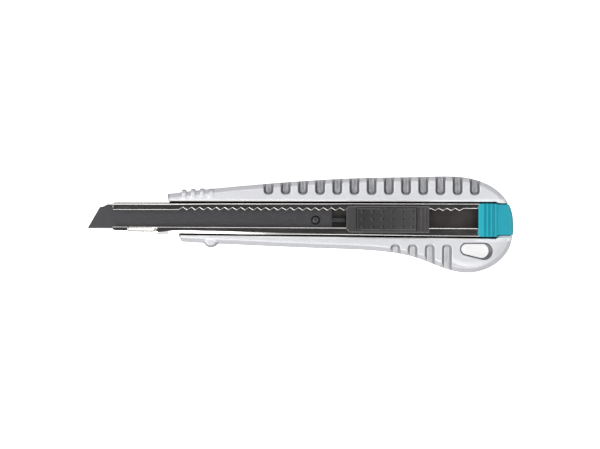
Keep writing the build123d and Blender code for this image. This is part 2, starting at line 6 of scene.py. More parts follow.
import bmesh
import bpy
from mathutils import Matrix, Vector


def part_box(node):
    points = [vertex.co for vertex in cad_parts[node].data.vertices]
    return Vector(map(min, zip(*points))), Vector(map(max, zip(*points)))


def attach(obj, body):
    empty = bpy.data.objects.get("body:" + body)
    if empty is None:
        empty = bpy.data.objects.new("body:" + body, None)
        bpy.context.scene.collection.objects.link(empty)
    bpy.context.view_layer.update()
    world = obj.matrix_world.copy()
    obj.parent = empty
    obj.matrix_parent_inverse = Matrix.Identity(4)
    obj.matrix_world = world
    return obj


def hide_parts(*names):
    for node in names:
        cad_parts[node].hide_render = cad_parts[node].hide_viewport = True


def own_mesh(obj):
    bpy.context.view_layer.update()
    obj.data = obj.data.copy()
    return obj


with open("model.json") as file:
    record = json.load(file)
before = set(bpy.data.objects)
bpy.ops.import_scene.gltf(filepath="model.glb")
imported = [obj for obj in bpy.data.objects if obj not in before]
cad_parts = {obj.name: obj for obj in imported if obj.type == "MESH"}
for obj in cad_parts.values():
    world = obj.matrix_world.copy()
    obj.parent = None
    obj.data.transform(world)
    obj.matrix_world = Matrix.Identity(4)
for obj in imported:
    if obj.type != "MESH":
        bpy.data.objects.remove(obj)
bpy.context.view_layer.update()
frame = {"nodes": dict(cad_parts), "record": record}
NODES = frame["nodes"]
MM = 0.001


# ---- node helpers ------------------------------------------------------------------------------
class Mat:
    """A node material: small helpers that add nodes and join them."""

    def __init__(self, name):
        self.mat = bpy.data.materials.new(name)
        self.mat.use_nodes = True
        self.tree = self.mat.node_tree
        self.shader = self.tree.nodes["Principled BSDF"]
        self.coords = self.tree.nodes.new("ShaderNodeTexCoord").outputs["Object"]

    def link(self, source, target):
        """Join an output to an input."""
        self.tree.links.new(source, target)

    def node(self, kind, **settings):
        """A new shader node with some of its properties set."""
        made = self.tree.nodes.new("ShaderNode" + kind)
        for key, value in settings.items():
            setattr(made, key, value)
        return made

    def set(self, **sockets):
        """Fixed values on the shader's own sockets, spaces in their names written as _."""
        for key, value in sockets.items():
            self.shader.inputs[key.replace("_", " ")].default_value = value

    def feed(self, socket, source):
        """Join an output to one of the shader's own sockets."""
        self.link(source, self.shader.inputs[socket])

    def math(self, operation, *values):
        """Result of a math node; each value is a number or a socket."""
        made = self.node("Math", operation=operation)
        for i, value in enumerate(values):
            if isinstance(value, (int, float)):
                made.inputs[i].default_value = value
            else:
                self.link(value, made.inputs[i])
        return made.outputs[0]

    def times(self, first, *others):
        """Product of masks."""
        for other in others:
            first = self.math("MULTIPLY", first, other)
        return first

    def minus(self, a, b):
        """Difference of two values."""
        return self.math("SUBTRACT", a, b)

    def most(self, a, b):
        """Larger of two values."""
        return self.math("MAXIMUM", a, b)

    def distance(self, x, y, centre):
        """Distance in plan from a centre."""
        run, rise = self.minus(x, centre[0]), self.minus(y, centre[1])
        squared = self.math("MULTIPLY_ADD", run, run, self.times(rise, rise))
        return self.math("SQRT", squared)

    def axes(self):
        """X, Y and Z of the point on the object, in metres."""
        made = self.node("SeparateXYZ")
        self.link(self.coords, made.inputs[0])
        return made.outputs

    def facing(self):
        """X and Y of the surface's own normal, and how level it lies: 1 is flat, 0 upright."""
        made = self.node("SeparateXYZ")
        self.link(self.node("TexCoord").outputs["Normal"], made.inputs[0])
        return made.outputs[0], made.outputs[1], self.math("ABSOLUTE", made.outputs[2])

    def stretched(self, scale):
        """The object's own coordinates, scaled along each axis."""
        made = self.node("Mapping")
        made.inputs["Scale"].default_value = scale
        self.link(self.coords, made.inputs["Vector"])
        return made.outputs[0]

    def noise(self, size, detail=3.0, rough=0.55, stretch=None):
        """Noise whose blobs are about size metres across, from 0 to 1."""
        made = self.node("TexNoise")
        made.inputs["Scale"].default_value = 1.0 / size
        made.inputs["Detail"].default_value = detail
        made.inputs["Roughness"].default_value = rough
        self.link(self.stretched(stretch) if stretch else self.coords, made.inputs["Vector"])
        return made.outputs["Fac"]

    def ramp(self, source, low, high, to_low=0.0, to_high=1.0):
        """Source from low..high carried to to_low..to_high, clamped."""
        made = self.node("MapRange")
        limits = {"From Min": low, "From Max": high, "To Min": to_low, "To Max": to_high}
        for name, value in limits.items():
            made.inputs[name].default_value = value
        self.link(source, made.inputs["Value"])
        return made.outputs[0]

    def mix(self, factor, a, b):
        """Colour a where factor is 0 and b where it is 1; each is a colour or a socket."""
        made = self.node("Mix", data_type="RGBA")
        self.link(factor, made.inputs["Factor"])
        for name, value in (("A", a), ("B", b)):
            socket = next(s for s in made.inputs if s.name == name and s.type == "RGBA")
            if isinstance(value, (tuple, list)):
                socket.default_value = (*value, 1.0)
            else:
                self.link(value, socket)
        return next(s for s in made.outputs if s.type == "RGBA")

    def bump(self, height, depth, strength=1.0):
        """Relief of the given depth in metres from a height of 0 to 1."""
        made = self.node("Bump")
        made.inputs["Strength"].default_value = strength
        made.inputs["Distance"].default_value = depth
        self.link(height, made.inputs["Height"])
        self.feed("Normal", made.outputs[0])


# ---- materials ---------------------------------------------------------------------------------
# The knife's own sizes, as in the CAD
FACE_Z = 9.6 * MM
SEAT_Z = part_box("blade_guide")[0].z
GUIDE_FLOOR_Z = SEAT_Z + 0.5 * MM
GUIDE_TOP_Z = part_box("blade_guide")[1].z
NOSE_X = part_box("handle_casting")[0].x
LOWER_NOSE_X = -46.11 * MM
BOSS_CENTRE = (-34.95 * MM, -7.3 * MM)
LOBE_CENTRE = (54.0 * MM, -4.1 * MM)  # of the round end of the handle
LOBE_RADIUS = 14.3 * MM
LANYARD_X = (49.9 * MM, 62.1 * MM)  # a box round the lanyard hole
LANYARD_Y = (-14.2 * MM, -8.0 * MM)
CHANNEL_UPPER_Y = 6.03 * MM
CHANNEL_LOWER_Y = -6.03 * MM  # at X = 0
CHANNEL_LOWER_SLOPE = -0.00896
GROOVE_PITCH = 5.91 * MM
UPPER_GROOVE_X = -15.17 * MM
UPPER_GROOVE_Y = 8.0 * MM
LOWER_GROOVE_X = 28.49 * MM
LOWER_GROOVE_Y = -8.3 * MM
GROOVE_RUN_IN = 2.4 * MM  # from the start of a row's mask to the middle of its first groove
UPPER_GROOVE_END = UPPER_GROOVE_X + 12.5 * GROOVE_PITCH
LOWER_GROOVE_END = LOWER_GROOVE_X + 3.5 * GROOVE_PITCH
GROOVE_HALF = 1.88 * MM
GROOVE_DEPTHS = (0.35 * MM, 1.5 * MM)  # below either face, where a groove's painted shade is
BLADE_BEVEL = 0.8 * MM
CAP_TOP_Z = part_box("end_cap")[1].z
CAP_NOSE_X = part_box("end_cap")[0].x + 3.46 * MM
CAP_REAR_X = 64.4 * MM
CAP_GROOVES_X = (58.8 * MM, 62.6 * MM)
CAP_GROOVE_SHADE_X = 61.3 * MM  # the last groove, from here on, gets painted shade of its own
PAD_SHADE_X = (16.0 * MM, 34.5 * MM)

HANDLE_EDGE_HIGHLIGHT = (0.97, 0.97, 0.97)
HANDLE_LOBE_HIGHLIGHT = (0.96, 0.96, 0.97)
HANDLE_LOBE_SHADE = (0.56, 0.56, 0.58)
HANDLE_BAND_SHADE = (0.36, 0.36, 0.38)
CHANNEL_WALL_SHADE = (0.02, 0.02, 0.021)


def cast_handle():
    """Die-cast aluminium: a linished face, a duller skin on slopes that is partly painted shade,
    painted shade and a duller finish in the grooves, painted shade in the channel, and painted
    highlights.
    """
    m = Mat("cast_handle")
    grain = m.noise(0.42 * MM, detail=4.0, rough=0.62)
    cloud = m.noise(8 * MM, detail=2.0)
    fine = m.ramp(grain, 0.32, 0.68)
    x, y, z = m.axes()
    lean, _, flat = m.facing()

    face = m.mix(fine, (0.70, 0.705, 0.74), (0.82, 0.825, 0.85))
    face = m.mix(m.ramp(cloud, 0.35, 0.7, 0.0, 0.4), face, (0.72, 0.725, 0.76))
    # the slopes take a duller skin tone, partly painted shade on them; toward the tail the slopes
    # keep more of the face's tone
    skin = m.mix(fine, (0.64, 0.64, 0.67), (0.76, 0.76, 0.79))
    level = m.ramp(flat, 0.84, 0.975)
    tail = m.ramp(m.math("ADD", x, m.times(y, 0.4)), 52 * MM, 62 * MM, 0.0, 0.75)
    metal = m.mix(m.most(level, tail), skin, face)

    # painted light of a crowned lobe: a painted highlight in a band inside the tail lobe's rim, and
    # painted shade in a duller band outside that
    reach = m.distance(x, y, LOBE_CENTRE)

    def inside_rim(start, stop):
        """From 0 at one distance inside the lobe's rim to 1 at another, in millimetres."""
        return m.ramp(reach, LOBE_RADIUS - start * MM, LOBE_RADIUS - stop * MM)

    below = m.times(m.ramp(y, -9.0 * MM, -12.5 * MM), m.ramp(x, 44 * MM, 50 * MM),
                    m.ramp(x, 63 * MM, 53 * MM))
    beside = m.times(m.ramp(x, 58 * MM, 63 * MM), m.ramp(y, -5.0 * MM, -7.0 * MM),
                     inside_rim(4.5, 1.2))
    on_face = m.times(m.ramp(z, FACE_Z - 1.0 * MM, FACE_Z - 0.6 * MM), m.ramp(flat, 0.75, 0.95))
    lobe_highlight = m.times(inside_rim(4.2, 2.8), inside_rim(1.9, 2.4), below, on_face)
    metal = m.mix(lobe_highlight, metal, HANDLE_LOBE_HIGHLIGHT)
    lobe_shade = m.times(m.most(m.times(inside_rim(2.3, 1.4), below), beside), on_face)
    metal = m.mix(m.times(lobe_shade, 0.7), metal, HANDLE_LOBE_SHADE)

    # painted shade: duller bands on the ends of the jaws and round the boss
    upper_end = m.times(m.ramp(x, NOSE_X + 0.95 * MM, NOSE_X + 0.6 * MM), m.ramp(y, 0.0, MM))
    lower_end = m.times(m.ramp(x, LOWER_NOSE_X + 0.9 * MM, LOWER_NOSE_X + 0.5 * MM),
                        m.ramp(y, 0.0, -MM))
    shaded_jaw_ends = m.most(upper_end, lower_end)
    radius = m.distance(x, y, BOSS_CENTRE)
    ring = m.times(m.ramp(radius, 1.7 * MM, 2.0 * MM), m.ramp(radius, 3.1 * MM, 2.9 * MM),
                   m.ramp(y, BOSS_CENTRE[1] - 0.5 * MM, BOSS_CENTRE[1] - 0.9 * MM))
    metal = m.mix(m.times(m.most(shaded_jaw_ends, m.times(ring, 0.7)), 0.8), metal, HANDLE_BAND_SHADE)

    # painted highlight along the channel's edge, and painted shade on the channel's walls
    lower_wall = m.math("MULTIPLY_ADD", x, CHANNEL_LOWER_SLOPE, CHANNEL_LOWER_Y)
    outside = m.most(m.minus(y, CHANNEL_UPPER_Y), m.minus(lower_wall, y))
    edge = m.times(m.ramp(outside, 0.95 * MM, 0.6 * MM), m.ramp(flat, 0.97, 0.90),
                   m.ramp(z, FACE_Z - 0.75 * MM, FACE_Z - 0.5 * MM), m.minus(1.0, shaded_jaw_ends))
    metal = m.mix(edge, metal, HANDLE_EDGE_HIGHLIGHT)
    above_seat = m.ramp(z, SEAT_Z - 0.6 * MM, SEAT_Z - 0.3 * MM)
    ledge = m.times(m.ramp(flat, 0.7, 0.9),
                    m.ramp(z, GUIDE_TOP_Z - 0.3 * MM, GUIDE_TOP_Z - 0.1 * MM))
    beside_cap = m.times(m.ramp(x, CAP_REAR_X, CAP_REAR_X + 0.3 * MM), m.ramp(y, 0.0, -MM),
                         m.ramp(z, GUIDE_TOP_Z - 1.5 * MM, GUIDE_TOP_Z - 1.2 * MM))
    shaded_walls = m.times(m.ramp(outside, 0.5 * MM, 0.3 * MM),
                    m.ramp(z, FACE_Z - 0.5 * MM, FACE_Z - 0.65 * MM), above_seat,
                    m.minus(1.0, m.most(ledge, beside_cap)), m.ramp(lean, 0.55, 0.3))
    metal = m.mix(shaded_walls, metal, CHANNEL_WALL_SHADE)

    # painted shade in the thumb grooves: darker floors, partly a duller finish, and darker still on
    # their sloping walls, darkest on walls facing the tail
    ragged = m.times(m.minus(grain, 0.5), 0.5 * MM)
    streak = m.ramp(m.noise(0.5 * MM, detail=3.0, stretch=(1.0, 0.22, 0.4)), 0.34, 0.66)
    mid = m.math("ABSOLUTE", m.minus(z, FACE_Z / 2))
    first, last = (FACE_Z / 2 - depth for depth in GROOVE_DEPTHS)
    deep = m.times(m.ramp(mid, FACE_Z / 2 - 0.1 * MM, first), m.ramp(mid, last - 0.15 * MM, last))
    steep = m.ramp(flat, 0.86, 0.66)
    sideways = m.ramp(m.math("ABSOLUTE", lean), 0.2, 0.5)
    tailward = m.ramp(lean, -0.15, 0.15)

    def grooves(metal, first_x, last_x, y_mask, floor, near, away, end, shady=None):
        """The metal with one row's grooves painted on it as shade; each tone is a pair that the
        grain mixes.
        """
        phase = m.math("WRAP", m.minus(x, first_x), GROOVE_PITCH / 2, -GROOVE_PITCH / 2)
        reach = m.math("ADD", m.math("ABSOLUTE", phase), ragged)
        start = first_x - GROOVE_RUN_IN
        mask = m.times(m.ramp(reach, GROOVE_HALF + 0.1 * MM, GROOVE_HALF - 0.1 * MM), y_mask,
                       m.ramp(x, start, start + 0.1 * MM),
                       m.ramp(x, last_x, last_x - 0.1 * MM), deep)
        floor_tone = m.mix(streak, *floor)
        if shady:
            # a strip of painted shade along one side of each floor
            strip = m.times(m.ramp(phase, 0.45 * MM, 0.8 * MM, 0.0, 0.8),
                            m.ramp(streak, 0.0, 0.6, 0.6, 1.0))
            floor_tone = m.mix(strip, floor_tone, shady)
        sides = m.mix(tailward, m.mix(fine, *away), m.mix(fine, *near))
        wall_shade = m.mix(sideways, m.mix(fine, *end), sides)
        return m.mix(mask, metal, m.mix(steep, floor_tone, wall_shade))

    metal = grooves(
        metal, UPPER_GROOVE_X, UPPER_GROOVE_END,
        m.ramp(y, UPPER_GROOVE_Y - 0.1 * MM, UPPER_GROOVE_Y + 0.05 * MM),
        floor=((0.27, 0.27, 0.285), (0.47, 0.47, 0.485)),
        near=((0.10, 0.10, 0.11), (0.16, 0.16, 0.17)),
        away=((0.17, 0.17, 0.18), (0.24, 0.24, 0.25)),
        end=((0.28, 0.28, 0.29), (0.36, 0.36, 0.37)),
    )
    metal = grooves(
        metal, LOWER_GROOVE_X, LOWER_GROOVE_END,
        m.ramp(y, LOWER_GROOVE_Y + 0.1 * MM, LOWER_GROOVE_Y - 0.05 * MM),
        floor=((0.56, 0.56, 0.575), (0.74, 0.74, 0.76)),
        near=((0.24, 0.24, 0.25), (0.34, 0.34, 0.35)),
        away=((0.32, 0.32, 0.33), (0.42, 0.42, 0.43)),
        end=((0.44, 0.44, 0.45), (0.56, 0.56, 0.57)),
        shady=(0.34, 0.34, 0.35),
    )

    def within(axis, low, high):
        """1 between two places along an axis and 0 outside them."""
        return m.times(m.ramp(axis, low - 0.1 * MM, low + 0.1 * MM),
                       m.ramp(axis, high + 0.1 * MM, high - 0.1 * MM))

    # painted shade on the lanyard hole's wall
    hole_shade = m.times(within(x, *LANYARD_X), within(y, *LANYARD_Y), m.ramp(flat, 0.95, 0.8))
    metal = m.mix(hole_shade, metal, m.mix(fine, (0.18, 0.18, 0.185), (0.27, 0.27, 0.275)))

    # half metallic, and not at all in the channel round the cap
    by_cap = m.times(m.ramp(x, CAP_NOSE_X - 2 * MM, CAP_NOSE_X),
                     m.ramp(outside, 1.2 * MM, 0.9 * MM), above_seat)
    m.feed("Base Color", metal)
    m.feed("Metallic", m.ramp(by_cap, 0.0, 1.0, 0.5, 0.0))
    m.set(Specular_IOR_Level=0.5)
    m.feed("Roughness", m.ramp(grain, 0.2, 0.8, 0.38, 0.54))
    m.bump(grain, 0.03 * MM, 0.6)
    return m.mat


def guide_steel():
    """Bright nickelled strip, drawn along its length; its floor is darker and rougher."""
    m = Mat("guide_steel")
    drawn = m.noise(0.5 * MM, detail=4.0, stretch=(0.04, 1.0, 1.0))
    cloud = m.noise(6 * MM, detail=2.0)
    z = m.axes()[2]
    steel = m.mix(m.ramp(drawn, 0.3, 0.7), (0.74, 0.715, 0.70), (0.90, 0.88, 0.865))
    # the floor is darker and rougher
    dark_floor = m.times(m.ramp(z, GUIDE_FLOOR_Z + 0.5 * MM, GUIDE_FLOOR_Z + 0.2 * MM),
                     m.ramp(z, GUIDE_FLOOR_Z - 0.3 * MM, GUIDE_FLOOR_Z - 0.1 * MM))
    dark_floor_tone = m.mix(m.ramp(cloud, 0.3, 0.7), (0.062, 0.055, 0.054), (0.080, 0.072, 0.070))
    m.feed("Base Color", m.mix(dark_floor, steel, dark_floor_tone))
    m.set(Metallic=1.0)
    polish = m.ramp(m.math("ADD", drawn, cloud), 0.6, 1.4, 0.09, 0.18)
    m.feed("Roughness", m.most(polish, m.times(dark_floor, 0.5)))
    m.bump(drawn, 0.004 * MM, 0.5)
    return m.mat


def plain_steel(name, low, high, rough):
    """Steel of one grey, between low and high."""
    m = Mat(name)
    grain = m.noise(0.6 * MM, detail=4.0)
    greys = [(grey, grey, grey * 1.02) for grey in (low, high)]
    m.feed("Base Color", m.mix(m.ramp(grain, 0.3, 0.7), *greys))
    m.set(Metallic=1.0)
    m.feed("Roughness", m.ramp(grain, 0.2, 0.8, rough - 0.06, rough + 0.08))
    m.bump(grain, 0.01 * MM, 0.5)
    return m.mat


def black_blade():
    """Black oxide on the blade's faces, and a bright ground edge."""
    m = Mat("black_blade")
    edge_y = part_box("blade")[0].y
    grain = m.noise(0.35 * MM, detail=5.0, stretch=(0.3, 1.0, 1.0))
    cloud = m.noise(7 * MM, detail=2.0)
    black = m.mix(m.ramp(grain, 0.3, 0.7), (0.098, 0.096, 0.102), (0.128, 0.126, 0.133))
    black = m.mix(m.ramp(cloud, 0.4, 0.7, 0.0, 0.5), black, (0.110, 0.109, 0.114))
    y = m.axes()[1]
    ground = m.ramp(y, edge_y + BLADE_BEVEL, edge_y + BLADE_BEVEL - 0.05 * MM)
    lines = m.noise(0.12 * MM, detail=2.0, stretch=(1.0, 0.05, 0.05))
    bright = m.mix(m.ramp(lines, 0.3, 0.7), (0.80, 0.80, 0.81), (0.93, 0.93, 0.94))
    m.feed("Base Color", m.mix(ground, black, bright))
    m.set(Metallic=0.85)
    m.feed("Roughness", m.ramp(grain, 0.2, 0.8, 0.34, 0.46))
    m.bump(grain, 0.004 * MM, 0.5)
    return m.mat


def moulded(name, low, high, rim_highlight, rough=0.42, fade=None, recess=None):
    """Moulded plastic: fine spark-eroded texture, slow colour drift, and rims made paler with a
    painted highlight.

    fade is (from X, to X, tone): painted shade, darker from the nose to the tail, and painted shade
    on the far sides of its studs.
    recess is (X range of the grooves, top, ridge tone, groove tone that is painted light, last
    groove's tone that is painted shade).
    """
    m = Mat(name)
    grain = m.noise(0.28 * MM, detail=4.0)
    cloud = m.noise(5 * MM, detail=2.0)
    mottle = m.math("ADD", grain, cloud)
    tone = m.mix(m.ramp(mottle, 0.7, 1.3), low, high)
    x, _, z = m.axes()
    lean, across, flat = m.facing()
    if fade:
        # painted shade, darker toward the nose
        start_x, end_x, darker = fade
        tone = m.mix(m.ramp(x, start_x, end_x, 1.0, 0.0), tone, darker)
    # painted highlight: the rounded rims are paler, most along the long sides
    rounded = m.times(m.ramp(flat, 0.985, 0.88), m.ramp(flat, 0.15, 0.4))
    along = m.ramp(m.math("ABSOLUTE", across), 0.15, 0.45, 0.3, 1.0)
    rim_highlight_mask = m.times(rounded, m.ramp(mottle, 0.6, 1.2, 0.6, 1.0), along)
    tone = m.mix(rim_highlight_mask, tone, rim_highlight)
    if fade:
        # painted shade on the far sides of the studs
        far_side = m.times(m.ramp(lean, 0.2, 0.5), m.ramp(flat, 0.2, 0.4),
                           m.ramp(x, end_x + 0.4 * MM, end_x + 0.2 * MM), 0.85)
        tone = m.mix(far_side, tone, (0.006, 0.006, 0.0065))
    if recess:
        (x0, x1), top, ridge, groove, last_groove = recess
        # the ridged front is lighter; the grooves get a lighter tone as painted light, and the last
        # one a darker tone as painted shade
        tone = m.mix(m.ramp(x, x1 + 0.4 * MM, x1 + 0.2 * MM, 0.0, 0.75), tone, ridge)
        sunk = m.times(m.ramp(z, top - 0.15 * MM, top - 0.3 * MM),
                       m.ramp(x, x0, x0 + 0.05 * MM), m.ramp(x, x1, x1 - 0.05 * MM))
        which = m.ramp(x, CAP_GROOVE_SHADE_X - 0.3 * MM, CAP_GROOVE_SHADE_X + 0.3 * MM)
        tone = m.mix(sunk, tone, m.mix(which, groove, last_groove))
    m.feed("Base Color", tone)
    m.set(Specular_IOR_Level=0.5)
    m.feed("Roughness", m.ramp(grain, 0.2, 0.8, rough - 0.07, rough + 0.09))
    m.bump(grain, 0.012 * MM, 0.6)
    return m.mat


MATERIALS = {
    "cast_handle": cast_handle(),
    "guide_steel": guide_steel(),
    "rivet_steel": plain_steel("rivet_steel", 0.42, 0.55, 0.34),
    "carrier_steel": plain_steel("carrier_steel", 0.07, 0.11, 0.42),
    "black_blade": black_blade(),
    "slider_plastic": moulded(
        "slider_plastic", (0.040, 0.038, 0.040), (0.058, 0.054, 0.058), (0.21, 0.20, 0.205)
    ),
    "pad_plastic": moulded(
        "pad_plastic", (0.035, 0.034, 0.036), (0.052, 0.050, 0.052), (0.13, 0.125, 0.13), rough=0.5,
        fade=(*PAD_SHADE_X, (0.012, 0.0118, 0.0125)),
    ),
    "cap_plastic": moulded(
        "cap_plastic", (0.004, 0.30, 0.385), (0.008, 0.345, 0.435), (0.04, 0.43, 0.51), rough=0.4,
        recess=(CAP_GROOVES_X, CAP_TOP_Z,
                (0.009, 0.395, 0.485), (0.002, 0.46, 0.57), (0.002, 0.275, 0.36)),
    ),
}
SLOT_OF = {part["node"]: part["material_slot"] for part in frame["record"]["subparts"]}

for name, obj in NODES.items():
    obj.data.materials.clear()
    obj.data.materials.append(MATERIALS[SLOT_OF[name]])


# ---- shapes ------------------------------------------------------------------------------------
def new_piece(name, bm, slot, body, node):
    """Finish a bmesh as a piece that stands for one CAD node."""
    mesh = bpy.data.meshes.new(name)
    bm.to_mesh(mesh)
    bm.free()
    piece = bpy.data.objects.new(name, mesh)
    bpy.context.scene.collection.objects.link(piece)
    mesh.materials.append(MATERIALS[slot])
    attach(piece, body)
    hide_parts(node)
    return piece


CRISP_ANGLE = math.radians(38)  # edges sharper than this stay crisp


def skin(bm, rings):
    """Smooth faces between each ring of corners and the next, and over both ends."""
    for a, b in zip(rings, rings[1:]):
        for i in range(len(a)):
            j = (i + 1) % len(a)
            bm.faces.new((a[i], b[i], b[j], a[j]))
    bm.faces.new(list(reversed(rings[0])))
    bm.faces.new(rings[-1])
    bmesh.ops.recalc_face_normals(bm, faces=bm.faces)
    for face in bm.faces:
        face.smooth = True
    for edge in bm.edges:
        edge.smooth = edge.calc_face_angle(math.pi) < CRISP_ANGLE


# The guide's own sizes, as in the CAD, in millimetres
GUIDE_LO, GUIDE_HI = (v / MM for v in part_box("blade_guide"))
GUIDE_SHEET = 0.5
UPPER_BENDS = ((-50.0, 0.95), (-30.0, 0.72), (5.0, 0.6), (15.0, 0.45))  # (x, outer width)
LOWER_BENDS = (
    (-54.0, 1.1), (-53.0, 0.66), (-51.0, 0.66), (-49.6, 1.25), (-44.0, 1.35),
    (-36.0, 1.22), (-20.0, 0.95), (-10.0, 0.8), (45.0, 0.42),
)
ROUND_BEND = 0.5  # up to this width the lower bend is round; wider ones start with a straight slope
SLOPED_BEND = 1.1  # from this width on it is mostly slope
SLOPE_DEGREES = 21
SLOPE_FOOT = 0.28  # radius below the slope
SLOPE_SPLITS = (0.5, 0.88)  # shares of the slope where it is split
FLAT_SPLITS = (0.08, 0.4, 0.7)  # shares of the lower lip's flat where it is split
GUIDE_INNER_BEND = 0.3
GUIDE_CORNER = 0.6
GUIDE_LOWER_NOSE_Y = -5.13
LIP_EDGES = (0.30, 0.50)  # width of a lip's rounded edge, at the nose and at the tail
LOWER_LIP_Y = (-2.75, -2.98)  # at the nose and at the tail
UPPER_LIP_Y = (2.95, 3.6)  # before the first tooth and after the last one
TOOTH_PITCH = 2.84
TOOTH_COUNT = 34
FIRST_NOTCH_X = -44.59
NOTCH_Y = (3.86, 3.58)  # at the nose and at the tail
TOOTH_Y = 2.83
TOOTH_ROUND = 0.12  # share of a tooth's flank that its rounded tip takes
CRIMP_X = (-63.7, -53.0)
CRIMP_SLOPES = (0.5, 2.2)  # length of the slope at either end
CRIMP_DROP = 0.45
CRIMP_FOLD = 0.8  # share of the bend's width where the pressed part starts

# Where the guide's sections stand
CORNER_SPLITS = (0.0, 0.04, 0.15, 0.35, 0.65, 1.0)  # shares of the rounded nose corner
CRIMP_STEPS = 8  # on each slope of the crimp
# shares of a tooth pitch
TOOTH_SPLITS = (0.0, 0.03, 0.06, 0.25, 0.44, 0.47, 0.5, 0.53, 0.56, 0.75, 0.94, 0.97)
UPPER_LIP_SPLIT = -48.0


def between(x, x0, x1):
    """0 before x0, 1 after x1, and smooth between."""
    t = min(max((x - x0) / (x1 - x0), 0.0), 1.0)
    return t * t * (3 - 2 * t)


def along_guide(x, at_nose, at_tail):
    """A size that changes evenly from the guide's nose to its tail."""
    share = (x - GUIDE_LO.x) / (GUIDE_HI.x - GUIDE_LO.x)
    return at_nose + (at_tail - at_nose) * share


def upper_lip(x):
    """Edge of the toothed lip at x."""
    start = FIRST_NOTCH_X - TOOTH_PITCH / 2
    end = FIRST_NOTCH_X + (TOOTH_COUNT - 0.5) * TOOTH_PITCH
    if x <= start:
        return UPPER_LIP_Y[0]
    if x >= end + TOOTH_PITCH / 2:
        return UPPER_LIP_Y[1]
    if x > end:
        return TOOTH_Y + (UPPER_LIP_Y[1] - TOOTH_Y) * (x - end) / (TOOTH_PITCH / 2)
    phase = (x - FIRST_NOTCH_X) / TOOTH_PITCH
    away = abs(phase - round(phase)) * 2  # 0 in a notch, 1 at a tooth's tip
    for tip in (0.0, 1.0):
        off = abs(away - tip)
        if off < TOOTH_ROUND:
            off = (off * off / TOOTH_ROUND + TOOTH_ROUND) / 2
            away = tip + (off if tip == 0.0 else -off)
    notch = along_guide(x, *NOTCH_Y)
    tip_y = UPPER_LIP_Y[0] if phase < 0 else TOOTH_Y
    return notch + (tip_y - notch) * away


def guide_bend(x, bends):
    """Radius of one of the guide's outer bends at x: wider where it stands out of the handle."""
    for (x0, r0), (x1, r1) in zip(bends, bends[1:]):
        if x < x1:
            return r0 + (r1 - r0) * between(x, x0, x1)
    return bends[-1][1]


def arc(cy, cz, ry, rz, a0, a1, steps):
    """Points of an elliptical arc, its angles in degrees."""
    turn = [math.radians(a0 + (a1 - a0) * i / steps) for i in range(steps + 1)]
    return [(cy + ry * math.cos(a), cz + rz * math.sin(a)) for a in turn]


def guide_section(x):
    """Closed outline of the guide's sheet at x: out over the outside, back along the inside."""
    inset = 0.0
    near_nose = x - GUIDE_LO.x
    if near_nose < GUIDE_CORNER:
        inset = GUIDE_CORNER - math.sqrt(GUIDE_CORNER**2 - (GUIDE_CORNER - near_nose) ** 2)
    top, bottom = GUIDE_HI.z, GUIDE_LO.z
    right, left = GUIDE_HI.y - inset, along_guide(x, GUIDE_LOWER_NOSE_Y, GUIDE_LO.y) + inset
    up, low = upper_lip(x), along_guide(x, *LOWER_LIP_Y)
    inner, sheet = GUIDE_INNER_BEND, GUIDE_SHEET
    half = sheet / 2
    lip_edge = along_guide(x, *LIP_EDGES)

    # the upper lip and the bends on that side
    bend = guide_bend(x, UPPER_BENDS)
    points = arc(up + lip_edge, top - half, lip_edge, half, 180, 90, 5)
    points += arc(right - bend, top - bend, bend, bend, 90, 0, 7)
    points += arc(right - bend, bottom + bend, bend, bend, 0, -90, 4)

    # the lower bend: a round foot and, where it is wide, a straight slope over it
    bend = guide_bend(x, LOWER_BENDS)
    sloped = between(bend, ROUND_BEND, SLOPED_BEND)
    foot = bend + (SLOPE_FOOT - bend) * sloped
    tilt = SLOPE_DEGREES * sloped
    fall = math.tan(math.radians(tilt))
    run = bend - foot * (1 - math.sin(math.radians(tilt)))
    foot_z = top - run * fall - foot * math.cos(math.radians(tilt))
    points += arc(left + SLOPE_FOOT, bottom + SLOPE_FOOT, SLOPE_FOOT, SLOPE_FOOT, -90, -180, 4)
    points += arc(left + foot, foot_z, foot, foot, 180, 90 + tilt, 7)
    for share in SLOPE_SPLITS:
        points.append((left + bend - run * (1 - share), top - run * (1 - share) * fall))
    points.append((left + bend, top))

    # the lower lip's flat, split so that the crimp can bend it, then its edge and the inside
    for share in FLAT_SPLITS:
        points.append((left + bend + (low - lip_edge - left - bend) * share, top))
    points += arc(low - lip_edge, top - half, lip_edge, half, 90, -90, 8)
    points += arc(left + sheet + inner, top - sheet - inner, inner, inner, 90, 180, 3)
    points += arc(left + sheet + inner, bottom + sheet + inner, inner, inner, 180, 270, 3)
    points += arc(right - sheet - inner, bottom + sheet + inner, inner, inner, -90, 0, 3)
    points += arc(right - sheet - inner, top - sheet - inner, inner, inner, 0, 90, 3)
    points += arc(up + lip_edge, top - half, lip_edge, half, 270, 180, 4)[:-1]

    # the lower lip is pressed down over the crimp's length, most of all at its free edge
    pressed = between(x, CRIMP_X[0], CRIMP_X[0] + CRIMP_SLOPES[0])
    pressed *= 1 - between(x, CRIMP_X[1] - CRIMP_SLOPES[1], CRIMP_X[1])
    fold, free = left + CRIMP_FOLD * bend, low - lip_edge
    bent = []
    for y, z in points:
        if y < 0 and z > top - 2 * sheet:
            share = min(max((y - fold) / (free - fold), 0.0), 1.0)
            z -= CRIMP_DROP * pressed * share
        bent.append((x, y, z))
    return bent


